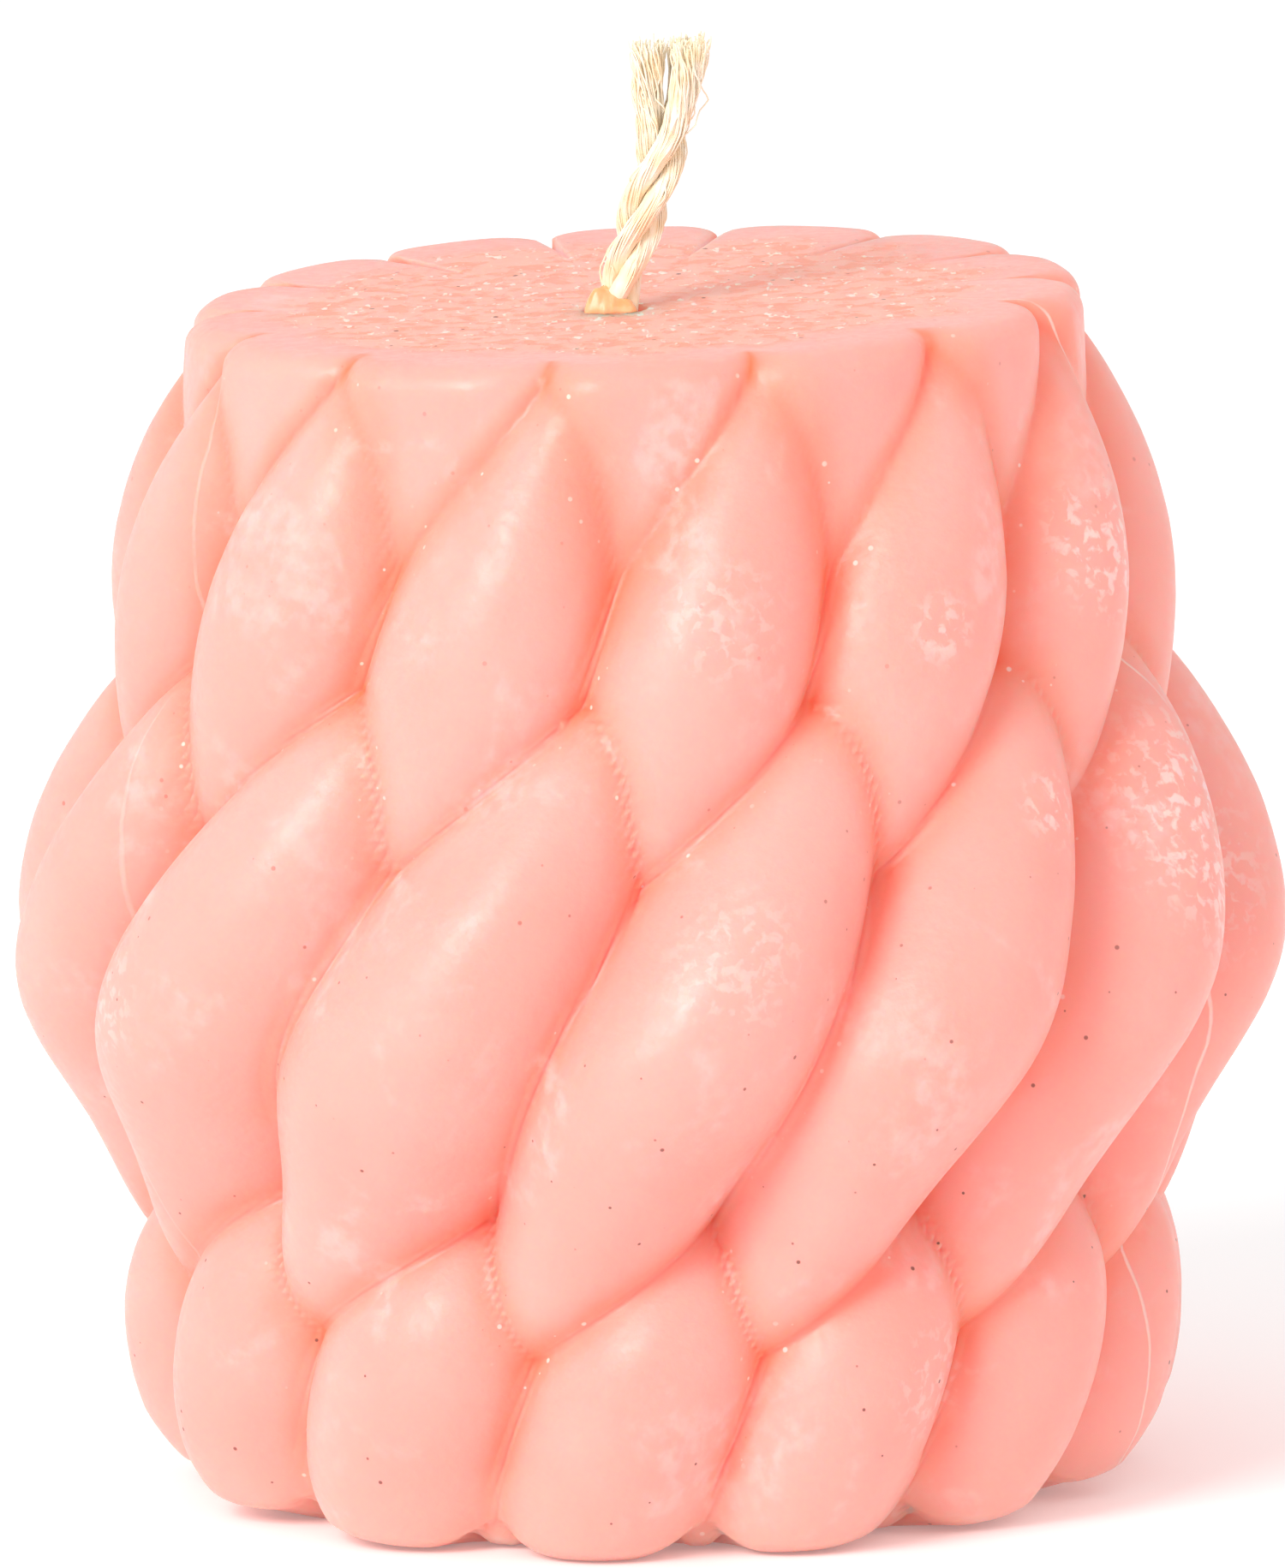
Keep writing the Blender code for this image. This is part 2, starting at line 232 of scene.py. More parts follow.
def reckon(tree, operation, *numbers):
    """The result of one sum on numbers or on other nodes' outputs."""
    return add_node(tree, "ShaderNodeMath", dict(enumerate(numbers)), operation=operation).outputs[0]


def new_tree(name, sizes):
    """A Geometry Nodes tree with a geometry input and output and the named inputs."""
    tree = bpy.data.node_groups.new(name, "GeometryNodeTree")
    tree.interface.new_socket("Geometry", in_out="INPUT", socket_type="NodeSocketGeometry")
    tree.interface.new_socket("Geometry", in_out="OUTPUT", socket_type="NodeSocketGeometry")
    for label, kind in sizes:
        tree.interface.new_socket(label, in_out="INPUT", socket_type="NodeSocket" + kind)
    return tree, tree.nodes.new("NodeGroupInput").outputs


def run_tree(name, mesh, tree, values):
    """Run a tree on a mesh and return what it makes as a plain mesh."""
    host = bpy.data.objects.new(name + "_start", mesh)
    bpy.context.scene.collection.objects.link(host)
    modifier = host.modifiers.new("shape", "NODES")
    modifier.node_group = tree
    for item in tree.interface.items_tree:
        if item.in_out == "INPUT" and item.name in values:
            modifier[item.identifier] = values[item.name]
    graph = bpy.context.evaluated_depsgraph_get()
    made = bpy.data.meshes.new_from_object(
        host.evaluated_get(graph), preserve_all_data_layers=True, depsgraph=graph
    )
    host.modifiers.remove(modifier)
    bpy.data.objects.remove(host)
    bpy.data.meshes.remove(mesh)
    made.name = name
    return made


def lobe_surfaces(tree, row, angle, height):
    """How far out the nearest and the next nearest lobe of a row lie at an angle and height."""
    along = reckon(tree, "DIVIDE", reckon(tree, "SUBTRACT", height, row.middle), row.half_length)
    arc = reckon(tree, "SINE", reckon(tree, "MULTIPLY", along, math.pi))
    leaned = reckon(tree, "MULTIPLY_ADD", along, row.lean, row.turn)
    axis = reckon(tree, "MULTIPLY_ADD", arc, row.bend, leaned)
    lane = reckon(tree, "DIVIDE", reckon(tree, "SUBTRACT", angle, axis), PITCH)
    nearest = reckon(tree, "PINGPONG", lane, 0.5)
    squared = reckon(tree, "MULTIPLY", along, along)
    tapered = reckon(tree, "MULTIPLY_ADD", squared, -row.taper, 1.0)
    width = reckon(tree, "MULTIPLY", reckon(tree, "MAXIMUM", tapered, NARROWEST), row.half_width)
    eased = reckon(tree, "POWER", reckon(tree, "ADD", squared, MIDDLE_EASE), row.roundness / 2)
    ends = reckon(tree, "SUBTRACT", eased, MIDDLE_EASE ** (row.roundness / 2))
    foundation = reckon(tree, "MULTIPLY_ADD", along, row.flare, row.radius)
    surfaces = []
    for aside in (nearest, reckon(tree, "SUBTRACT", 1.0, nearest)):
        across = reckon(tree, "POWER", reckon(tree, "DIVIDE", aside, width), row.crown)
        inside = reckon(tree, "SUBTRACT", 1.0, reckon(tree, "ADD", across, ends))
        dome = reckon(tree, "POWER", reckon(tree, "MAXIMUM", inside, 0.0), row.fullness)
        skirt = reckon(tree, "MULTIPLY", reckon(tree, "MINIMUM", inside, 0.0), SKIRT_FALL)
        swollen = reckon(tree, "MULTIPLY", reckon(tree, "ADD", dome, skirt), row.swell)
        surfaces.append(reckon(tree, "ADD", foundation, swollen))
    return surfaces


def lobed_tree():
    """Rolls a grid into the casting's side and swells it to the highest of the lobes around."""
    tree, given = new_tree(
        "lobed_casting",
        (
            ("Columns", "Int"), ("Levels", "Int"), ("Height", "Float"), ("Edge Crowding", "Float"),
            ("Mesh Lean", "Float"), ("Crease Softness", "Float"), ("Crease Reach", "Float"),
            ("Valley Reach", "Float"), ("Top Edge", "Float"), ("Foot Edge", "Float"),
            ("Foot Rise", "Float"), ("Rim Notch", "Float"), ("Rim Fill", "Float"),
            ("Foot Notch", "Float"), ("Foot Fill", "Float"), ("Foot Lift", "Float"),
            ("Unevenness", "Float"), ("Hand Wobble", "Float"), ("Seed", "Float"), ("Wax", "Material"),
        ),
    )
    columns = reckon(tree, "ADD", given["Columns"], 1)
    sheet = add_node(
        tree,
        "GeometryNodeMeshGrid",
        {"Size X": 1.0, "Size Y": 1.0, "Vertices X": columns, "Vertices Y": given["Levels"]},
    )
    position = add_node(tree, "GeometryNodeInputPosition").outputs[0]
    flat = add_node(tree, "ShaderNodeSeparateXYZ", {0: position}).outputs
    upward = reckon(tree, "ADD", flat["Y"], 0.5)
    wave = reckon(tree, "SINE", reckon(tree, "MULTIPLY", upward, math.tau))
    crowding = reckon(tree, "DIVIDE", given["Edge Crowding"], math.tau)
    level = reckon(tree, "SUBTRACT", upward, reckon(tree, "MULTIPLY", wave, crowding))
    height = reckon(tree, "MULTIPLY", level, given["Height"])
    turn = reckon(tree, "MULTIPLY", flat["X"], math.tau)
    from_middle = reckon(tree, "SUBTRACT", level, 0.5)
    angle = reckon(tree, "MULTIPLY_ADD", from_middle, given["Mesh Lean"], turn)

    sine = reckon(tree, "SINE", angle)
    cosine = reckon(tree, "COSINE", angle)
    drum = add_node(
        tree,
        "ShaderNodeCombineXYZ",
        {
            "X": reckon(tree, "MULTIPLY", sine, CORE_FOOT_RADIUS),
            "Y": reckon(tree, "MULTIPLY", cosine, -CORE_FOOT_RADIUS),
            "Z": height,
        },
    ).outputs[0]

    def unevenness(scale, detail, amount):
        made = add_node(
            tree,
            "ShaderNodeTexNoise",
            {"Vector": drum, "W": given["Seed"], "Scale": scale, "Detail": detail},
            noise_dimensions="4D",
        )
        centred = add_node(
            tree,
            "ShaderNodeVectorMath",
            {0: made.outputs["Color"], 1: (0.5, 0.5, 0.5)},
            operation="SUBTRACT",
        )
        scaled = add_node(
            tree, "ShaderNodeVectorMath", {0: centred.outputs[0], "Scale": amount}, operation="SCALE"
        )
        return add_node(tree, "ShaderNodeSeparateXYZ", {0: scaled.outputs[0]}).outputs

    wobble = unevenness(HAND_SCALE, HAND_DETAIL, given["Hand Wobble"])
    carved_angle = reckon(tree, "ADD", angle, reckon(tree, "DIVIDE", wobble["X"], CORE_FOOT_RADIUS))
    carved_height = reckon(tree, "ADD", height, wobble["Y"])

    plain = reckon(
        tree,
        "MULTIPLY_ADD",
        reckon(tree, "DIVIDE", carved_height, given["Height"]),
        CORE_TOP_RADIUS - CORE_FOOT_RADIUS,
        CORE_FOOT_RADIUS,
    )
    highest, rounded, blended, filled = plain, plain, plain, plain
    for row in ROWS:
        for surface in lobe_surfaces(tree, row, carved_angle, carved_height):
            highest = reckon(tree, "MAXIMUM", highest, surface)
            rounded = reckon(tree, "SMOOTH_MAX", rounded, surface, given["Crease Softness"])
            blended = reckon(tree, "SMOOTH_MAX", blended, surface, given["Crease Reach"])
            filled = reckon(tree, "SMOOTH_MAX", filled, surface, given["Valley Reach"])

    def nearness(over, within):
        raised = reckon(tree, "MULTIPLY", reckon(tree, "SUBTRACT", over, highest), LEVEL_FACTOR)
        return reckon(tree, "DIVIDE", raised, within)

    crease = reckon(tree, "MINIMUM", nearness(blended, given["Crease Reach"]), DEEPEST_CREASE)
    valley = nearness(filled, given["Valley Reach"])

    def edge_share(distance, within):
        share = reckon(tree, "SUBTRACT", 1.0, reckon(tree, "DIVIDE", distance, within))
        return reckon(tree, "MINIMUM", reckon(tree, "MAXIMUM", share, 0.0), 1.0)

    def rounding(share, inset):
        square = reckon(tree, "MULTIPLY", share, share)
        quarter = reckon(tree, "SQRT", reckon(tree, "SUBTRACT", 1.0, square))
        return reckon(tree, "MULTIPLY", reckon(tree, "SUBTRACT", 1.0, quarter), inset)

    def facing(slope, at_side):
        return reckon(tree, "MAXIMUM", reckon(tree, "MULTIPLY_ADD", cosine, slope, at_side), 0.0)

    from_top = reckon(tree, "SUBTRACT", given["Height"], height)
    top_share = edge_share(from_top, given["Top Edge"])
    foot_share = edge_share(height, given["Foot Rise"])
    in_front = facing(*FRONT_FILL)
    behind = facing(*BACK_BITE)

    lumps = unevenness(SKIN_SCALE, SKIN_DETAIL, given["Unevenness"])
    worn = reckon(tree, "MULTIPLY_ADD", given["Unevenness"], SKIN_INSET, lumps["Z"])
    radius = reckon(tree, "ADD", rounded, worn)
    hollow = reckon(tree, "SUBTRACT", filled, rounded)
    rim_fill = reckon(tree, "MULTIPLY", edge_share(from_top, FILL_REACH), given["Rim Fill"])
    radius = reckon(tree, "MULTIPLY_ADD", hollow, reckon(tree, "MULTIPLY", rim_fill, in_front), radius)
    foot_fill = reckon(tree, "MULTIPLY", edge_share(height, FILL_REACH), given["Foot Fill"])
    radius = reckon(tree, "MULTIPLY_ADD", hollow, foot_fill, radius)
    for waist in WAISTS:
        away = reckon(tree, "DIVIDE", reckon(tree, "SUBTRACT", height, waist.height), waist.reach)
        squared = reckon(tree, "MULTIPLY", away, away)
        fading = reckon(tree, "EXPONENT", reckon(tree, "MULTIPLY", squared, -1.0))
        radius = reckon(tree, "MULTIPLY_ADD", fading, -waist.depth, radius)
    radius = reckon(tree, "SUBTRACT", radius, rounding(top_share, given["Top Edge"]))
    radius = reckon(tree, "SUBTRACT", radius, rounding(foot_share, given["Foot Edge"]))
    near_top = edge_share(from_top, reckon(tree, "MULTIPLY", given["Top Edge"], RIM_BITE_REACH))
    sharp = reckon(tree, "MULTIPLY", crease, crease)
    rim_bite = reckon(tree, "MULTIPLY", reckon(tree, "MULTIPLY", near_top, sharp), given["Rim Notch"])
    radius = reckon(tree, "SUBTRACT", radius, reckon(tree, "MULTIPLY", rim_bite, behind))

    torn = reckon(tree, "ADD", crease, reckon(tree, "MULTIPLY", lumps["X"], FOOT_RAGGEDNESS))
    foot_bite = reckon(tree, "MULTIPLY", reckon(tree, "MAXIMUM", torn, 0.0), given["Foot Notch"])
    near_foot = edge_share(height, reckon(tree, "MULTIPLY", given["Foot Rise"], FOOT_BITE_REACH))
    lifted = reckon(tree, "MULTIPLY", foot_bite, near_foot)
    dipped = reckon(tree, "MULTIPLY", reckon(tree, "MULTIPLY", top_share, crease), given["Rim Notch"])
    dipped = reckon(tree, "MULTIPLY", reckon(tree, "MULTIPLY", dipped, behind), RIM_DIP)
    stood = reckon(tree, "SUBTRACT", reckon(tree, "ADD", height, lifted), dipped)
    sideways = reckon(tree, "POWER", reckon(tree, "ABSOLUTE", sine), LIFT_SIDEWAYS)
    tucked = reckon(tree, "MULTIPLY", sideways, given["Foot Lift"])
    stood = reckon(tree, "ADD", stood, reckon(tree, "MULTIPLY", tucked, edge_share(height, LIFT_REACH)))

    place = add_node(
        tree,
        "ShaderNodeCombineXYZ",
        {
            "X": reckon(tree, "MULTIPLY", radius, sine),
            "Y": reckon(tree, "MULTIPLY", radius, reckon(tree, "MULTIPLY", cosine, -1.0)),
            "Z": stood,
        },
    )
    marked = add_node(
        tree,
        "GeometryNodeStoreNamedAttribute",
        {"Geometry": sheet.outputs[0], "Name": "valley", "Value": valley},
        data_type="FLOAT",
        domain="POINT",
    )
    rolled = add_node(
        tree, "GeometryNodeSetPosition", {"Geometry": marked.outputs[0], "Position": place.outputs[0]}
    )
    joined = add_node(
        tree, "GeometryNodeMergeByDistance", {"Geometry": rolled.outputs[0], "Distance": 2e-6}
    )
    solid = add_node(tree, "GeometryNodeRealizeInstances", {"Geometry": joined.outputs[0]})
    coated = add_node(
        tree, "GeometryNodeSetMaterial", {"Geometry": solid.outputs[0], "Material": given["Wax"]}
    )
    add_node(tree, "NodeGroupOutput", {0: coated.outputs[0]})
    return tree


def mix_colours(tree, share, first, second):
    """A mix of two colours by a share that is a number or another node's output."""
    made = add_node(tree, "ShaderNodeMix", data_type="RGBA")
    for socket, value in ((made.inputs[0], share), (made.inputs[6], first), (made.inputs[7], second)):
        if isinstance(value, bpy.types.NodeSocket):
            tree.links.new(value, socket)
        else:
            socket.default_value = value
    return made.outputs[2]


def remap(tree, value, low, high, to_low=0.0, to_high=1.0):
    """A number mapped from one range to another, held at the ends of the second."""
    made = add_node(
        tree,
        "ShaderNodeMapRange",
        {"Value": value, "From Min": low, "From Max": high, "To Min": to_low, "To Max": to_high},
        interpolation_type="SMOOTHSTEP",
    )
    return made.outputs[0]


def mottle(tree, place, scale, detail, distortion=0.0):
    """A cloudy pattern of numbers about one half."""
    made = add_node(
        tree,
        "ShaderNodeTexNoise",
        {"Vector": place, "Scale": scale, "Detail": detail, "Distortion": distortion},
    )
    return made.outputs[0]


def drawn_out(tree, place, along_x, along_y):
    """The object's coordinates shrunk sideways, so that a pattern on the top is drawn out."""
    made = add_node(tree, "ShaderNodeMapping", {"Vector": place, "Scale": (along_x, along_y, 1.0)})
    return made.outputs[0]


def flecks(tree, place, scale, share, size):
    """Scattered small spots: a share of the cells of a pattern hold one, which fades at its edge."""
    cells = add_node(tree, "ShaderNodeTexVoronoi", {"Vector": place, "Scale": scale, "Randomness": 1.0})
    chosen = add_node(tree, "ShaderNodeSeparateColor", {0: cells.outputs["Color"]})
    present = reckon(tree, "LESS_THAN", chosen.outputs[0], share)
    extent = reckon(tree, "MULTIPLY_ADD", chosen.outputs[1], 0.7 * size, 0.5 * size)
    inside = reckon(tree, "SUBTRACT", 1.0, reckon(tree, "DIVIDE", cells.outputs["Distance"], extent))
    spot = remap(tree, inside, 0.0, 0.45)
    return reckon(tree, "MULTIPLY", spot, present)


# Where the two halves of the mould met, as a bearing from the front, and how plain the line is;
# how far the line strays, half its width with its soft edge, and without, all in radians
MOULD_SEAMS = ((math.radians(71.0), 1.0), (math.radians(-66.0), 0.3))
SEAM_STRAY = 0.05
SEAM_EDGE = 0.0042
SEAM_CORE = 0.0012

# Where the side was rubbed pale in handling, how far round that place, and how plainly it shows;
# then how much of that reach is rubbed evenly
RUBBED_SPOTS = (
    ((0.0335, -0.0130, 0.0400), 0.0105, 1.0),
    ((0.0270, -0.0140, 0.0570), 0.0055, 0.9),
    ((0.0245, -0.0250, 0.0440), 0.0035, 0.9),
    ((0.0048, -0.0310, 0.0560), 0.0050, 0.4),
    ((0.0050, -0.0370, 0.0372), 0.0060, 0.4),
    ((-0.0135, -0.0260, 0.0620), 0.0030, 0.5),
    ((0.0178, -0.0265, 0.0545), 0.0030, 0.6),
    ((-0.0310, -0.0190, 0.0330), 0.0050, 0.5),
    ((0.0160, -0.0250, 0.0100), 0.0050, 0.5),
)
RUBBED_MIDDLE = 0.35

# Colours of the wax: in the body; on the side, with a painted highlight on the crowns, painted shade and
# glow in the creases and pits, and bloom with a painted sheen; on the trimmed top; and of what lies on it
DEEP_FLESH = (1.0, 0.335, 0.262, 1.0)
PALE_FLESH = (1.0, 0.375, 0.305, 1.0)
CROWN_HIGHLIGHT_COLOUR = (1.0, 0.49, 0.475, 1.0)
CREASE_SHADE_COLOUR = (1.0, 0.158, 0.035, 1.0)
PIT_SHADE_COLOUR = (1.0, 0.080, 0.030, 1.0)
BLOOM_AND_SHEEN_COLOUR = (1.0, 0.64, 0.62, 1.0)
SKIRT_COLOUR = (1.0, 0.52, 0.44, 1.0)
SEAM_COLOUR = (1.0, 0.74, 0.68, 1.0)
RUBBED_COLOUR = (1.0, 0.72, 0.68, 1.0)
TRIMMED_COLOUR = (1.0, 0.430, 0.325, 1.0)
DRAGGED_COLOUR = (0.97, 0.270, 0.175, 1.0)
SCRAPED_COLOUR = (1.0, 0.84, 0.74, 1.0)
DUST_COLOUR = (0.12, 0.035, 0.025, 1.0)
CRUMB_COLOUR = (1.0, 0.82, 0.74, 1.0)

# How deep the wax's grain is, and how far light travels inside it by colour
GRAIN_DEPTH = 0.00006
WAX_GLOW_REACH = 0.0075
WAX_GLOW_COLOURS = (1.0, 0.15, 0.09)


def wax_finish():
    """Pink wax that light sinks into, with painted coral shade and glow in the creases and pits, a
    painted highlight on the crowns, bloom frosted with a painted sheen, rubbed pale in places, and
    scraped and specked with crumbs where the top was cut."""
    finish = bpy.data.materials.new("pink_wax")
    finish.use_nodes = True
    tree = finish.node_tree
    shader = tree.nodes["Principled BSDF"]
    shader.inputs["Subsurface Weight"].default_value = 1.0
    shader.inputs["Subsurface Radius"].default_value = WAX_GLOW_COLOURS
    shader.inputs["Subsurface Scale"].default_value = WAX_GLOW_REACH
    shader.inputs["IOR"].default_value = 1.46
    place = add_node(tree, "ShaderNodeTexCoord").outputs["Object"]
    spread_out = add_node(tree, "ShaderNodeSeparateXYZ", {0: place}).outputs
    height = spread_out["Z"]
    valley = add_node(tree, "ShaderNodeAttribute", attribute_name="valley").outputs["Fac"]
    trimmed = add_node(tree, "ShaderNodeAttribute", attribute_name="trimmed").outputs["Fac"]

    def tint(under, share, strength, colour):
        return mix_colours(tree, reckon(tree, "MULTIPLY", share, strength), under, colour)

    cloud = mottle(tree, place, 85.0, 4.0)
    base = mix_colours(tree, remap(tree, cloud, 0.38, 0.64), DEEP_FLESH, PALE_FLESH)
    # Painted highlight: the crowns, away from the creases, are lightened towards pale pink.
    base = tint(base, remap(tree, valley, 0.75, 0.15), 0.30, CROWN_HIGHLIGHT_COLOUR)
    # Painted shade and glow: the creases are darkened towards a saturated coral by how deep they lie.
    crease_shade = remap(tree, valley, 0.45, 2.20)
    base = tint(base, crease_shade, 1.0, CREASE_SHADE_COLOUR)
    # Painted shade and glow: the deepest pits of the creases are darkened further.
    base = tint(base, remap(tree, valley, 2.00, 3.00), 1.0, PIT_SHADE_COLOUR)

    patches = mottle(tree, place, 130.0, 5.0, 0.8)
    frost = mottle(tree, place, 950.0, 5.0)
    # Bloom: a real frost in patches that also serves as a painted sheen on the crowns, kept out of the
    # creases.
    bloom_and_sheen = reckon(tree, "MULTIPLY", remap(tree, patches, 0.54, 0.70), remap(tree, frost, 0.36, 0.66))
    bloom_and_sheen = reckon(tree, "MULTIPLY", bloom_and_sheen, reckon(tree, "SUBTRACT", 1.0, crease_shade))
    base = tint(base, bloom_and_sheen, 0.38, BLOOM_AND_SHEEN_COLOUR)
    near_foot = remap(tree, height, 0.0070, 0.0005)
    skirt = reckon(tree, "MULTIPLY", near_foot, remap(tree, valley, 0.3, 1.3, 0.45, 1.0))
    base = tint(base, skirt, 0.65, SKIRT_COLOUR)

    forward = reckon(tree, "MULTIPLY", spread_out["Y"], -1.0)
    bearing = reckon(tree, "ARCTAN2", spread_out["X"], forward)
    strayed = reckon(tree, "MULTIPLY_ADD", cloud, SEAM_STRAY, bearing)
    seam = 0.0
    for direction, plainness in MOULD_SEAMS:
        off = reckon(tree, "ABSOLUTE", reckon(tree, "SUBTRACT", strayed, direction + SEAM_STRAY / 2))
        line = reckon(tree, "MULTIPLY", remap(tree, off, SEAM_EDGE, SEAM_CORE), plainness)
        seam = reckon(tree, "MAXIMUM", seam, line)
    seam = reckon(tree, "MULTIPLY", seam, remap(tree, patches, 0.36, 0.48))
    base = tint(base, seam, 0.65, SEAM_COLOUR)

    rubbed = 0.0
    for centre, extent, plainness in RUBBED_SPOTS:
        apart = add_node(tree, "ShaderNodeVectorMath", {0: place, 1: centre}, operation="DISTANCE")
        within = remap(tree, apart.outputs["Value"], extent, RUBBED_MIDDLE * extent)
        rubbed = reckon(tree, "MAXIMUM", rubbed, reckon(tree, "MULTIPLY", within, plainness))
    streaked = mottle(tree, place, 1250.0, 6.0, 0.4)
    rubbed = reckon(tree, "MULTIPLY", rubbed, remap(tree, streaked, 0.50, 0.62))
    base = tint(base, rubbed, 0.70, RUBBED_COLOUR)

    base = tint(base, trimmed, 0.60, TRIMMED_COLOUR)
    smeared = mottle(tree, drawn_out(tree, place, 0.36, 0.36), 2100.0, 5.0)
    dragged = reckon(tree, "MULTIPLY", remap(tree, smeared, 0.47, 0.60), trimmed)
    base = tint(base, dragged, 0.60, DRAGGED_COLOUR)
    crumbled = mottle(tree, drawn_out(tree, place, 0.48, 0.22), 3300.0, 2.0)
    scraped = reckon(tree, "MULTIPLY", remap(tree, crumbled, 0.615, 0.69), trimmed)
    base = tint(base, scraped, 0.70, SCRAPED_COLOUR)

    pits = reckon(tree, "MULTIPLY", flecks(tree, place, 560.0, 0.60, 0.10), trimmed)
    lower_down = remap(tree, height, 0.055, 0.020, 0.3, 1.0)
    specks = reckon(tree, "MULTIPLY", flecks(tree, place, 640.0, 0.60, 0.095), lower_down)
    base = tint(base, reckon(tree, "MAXIMUM", pits, specks), 0.8, DUST_COLOUR)
    caught = remap(tree, valley, 0.25, 1.0)
    crumbs = reckon(tree, "MULTIPLY", flecks(tree, place, 700.0, 0.90, 0.12), caught)
    base = tint(base, crumbs, 0.7, CRUMB_COLOUR)
    tree.links.new(base, shader.inputs["Base Color"])

    grain = mottle(tree, place, 1500.0, 4.0)
    skin = mottle(tree, place, 240.0, 3.0)
    rough = remap(tree, grain, 0.3, 0.7, 0.32, 0.46)
    matt = reckon(tree, "MAXIMUM", bloom_and_sheen, trimmed)
    rough = reckon(tree, "ADD", rough, reckon(tree, "MULTIPLY", matt, 0.22))
    tree.links.new(rough, shader.inputs["Roughness"])
    relief = reckon(tree, "ADD", grain, reckon(tree, "MULTIPLY", skin, 2.0))
    tooled = reckon(tree, "SUBTRACT", scraped, dragged)
    relief = reckon(tree, "ADD", relief, reckon(tree, "MULTIPLY", tooled, 2.5))
    relief = reckon(tree, "ADD", relief, reckon(tree, "MULTIPLY", seam, 2.0))
    bump = add_node(tree, "ShaderNodeBump", {"Height": relief, "Strength": 0.55, "Distance": GRAIN_DEPTH})
    tree.links.new(bump.outputs[0], shader.inputs["Normal"])
    return finish


def top_height(x, y):
    """Height of the trimmed top face, which rises a little to the right and to the back."""
    return HEIGHT + x * math.tan(TOP_TILT) + max(0.0, y) * math.tan(TOP_PITCH)


def carved(place):
    """Where a point lies once the hand-carved unevenness and the top's tilt are added."""
    angle = math.atan2(place.x, -place.y)
    radius = math.hypot(place.x, place.y)
    turn, rise = 0.0, 0.0
    for spot in CARVING:
        away = (angle - spot.place + math.pi) % math.tau - math.pi
        nearness = math.exp(-0.5 * (away / CARVING_REACH) ** 2)
        turn += spot.turn * nearness
        rise += spot.rise * nearness
    height = place.z + rise * math.sin(math.pi * min(1.0, place.z / HEIGHT))
    x, y = radius * math.sin(angle + turn), -radius * math.cos(angle + turn)
    share = max(0.0, (height - TILT_FROM) / (HEIGHT - TILT_FROM))
    height += (top_height(x, y) - HEIGHT) * share * share
    return Vector((x, y, max(0.0, height)))


# The middle of the wick's bore at the foot and the bore's radius; how many rings of faces close the
# top and the foot, how they crowd towards the bore, and how fast they leave the rim's own height
WICK_FOOT = Vector((-0.0010, -0.0045, 0.0))
BORE_RADIUS = 0.0018
TOP_RINGS = 22
FOOT_RINGS = 8
RING_CROWDING = 1.15
RIM_FADE = 6

# The knife's marks on the top: how deep its drags and its tears are, over how many rings they set
# in, and how soon, how suddenly and how raggedly the cut face begins inside the rim
DRAG_DEPTH = 0.00009
TEAR_DEPTH = 0.00010
MARKS_SET_IN = 4
CUT_START = 1.1
CUT_SUDDENNESS = 9.0
CUT_RAGGEDNESS = 1.2


def tool_marks(place):
    """Relief of the trimmed top: shallow drag marks from left to right, and small tears."""
    drag = noise.noise(Vector((place.x * 160.0, place.y * 900.0, 3.1)))
    tear = noise.noise(Vector((place.x * 420.0, place.y * 1500.0, 7.7)))
    return DRAG_DEPTH * drag + TEAR_DEPTH * max(0.0, tear - 0.15)


def close_end(cut, is_top):
    """Fill the casting's top or foot with rings that run in from the edge to the wick's bore."""
    trimmed = cut.verts.layers.float["trimmed"]
    rings_in = TOP_RINGS if is_top else FOOT_RINGS
    edges = [edge for edge in cut.edges if edge.is_boundary]
    loop = {vert for edge in edges for vert in edge.verts if (vert.co.z > HEIGHT / 2) == is_top}
    outer = sorted(loop, key=lambda vert: math.atan2(vert.co.x, -vert.co.y))
    rings = [outer]
    for ring in range(1, rings_in + 1):
        share = 1.0 - (1.0 - ring / rings_in) ** RING_CROWDING
        line = []
        for vert in outer:
            out = (vert.co - WICK_FOOT).to_2d().normalized()
            inner = WICK_FOOT.to_2d() + out * BORE_RADIUS
            spot = vert.co.to_2d().lerp(inner, share)
            rim_height = vert.co.z if is_top else 0.0
            height = top_height(spot.x, spot.y) if is_top else 0.0
            height += (rim_height - height) * (1.0 - share) ** RIM_FADE
            if is_top and ring < rings_in:
                height += tool_marks(spot.to_3d()) * min(1.0, ring / MARKS_SET_IN)
            made = cut.verts.new((spot.x, spot.y, height))
            ragged = noise.noise(Vector((spot.x * 260.0, spot.y * 420.0, 5.5)))
            begun = share * CUT_SUDDENNESS - CUT_START + CUT_RAGGEDNESS * ragged
            made[trimmed] = min(1.0, max(0.0, begun)) if is_top else 0.0
            line.append(made)
        rings.append(line)
    for upper, lower in zip(rings, rings[1:]):
        for here in range(len(upper)):
            after = (here + 1) % len(upper)
            corners = (upper[here], upper[after], lower[after], lower[here])
            cut.faces.new(corners if is_top else corners[::-1])
    return rings[-1]


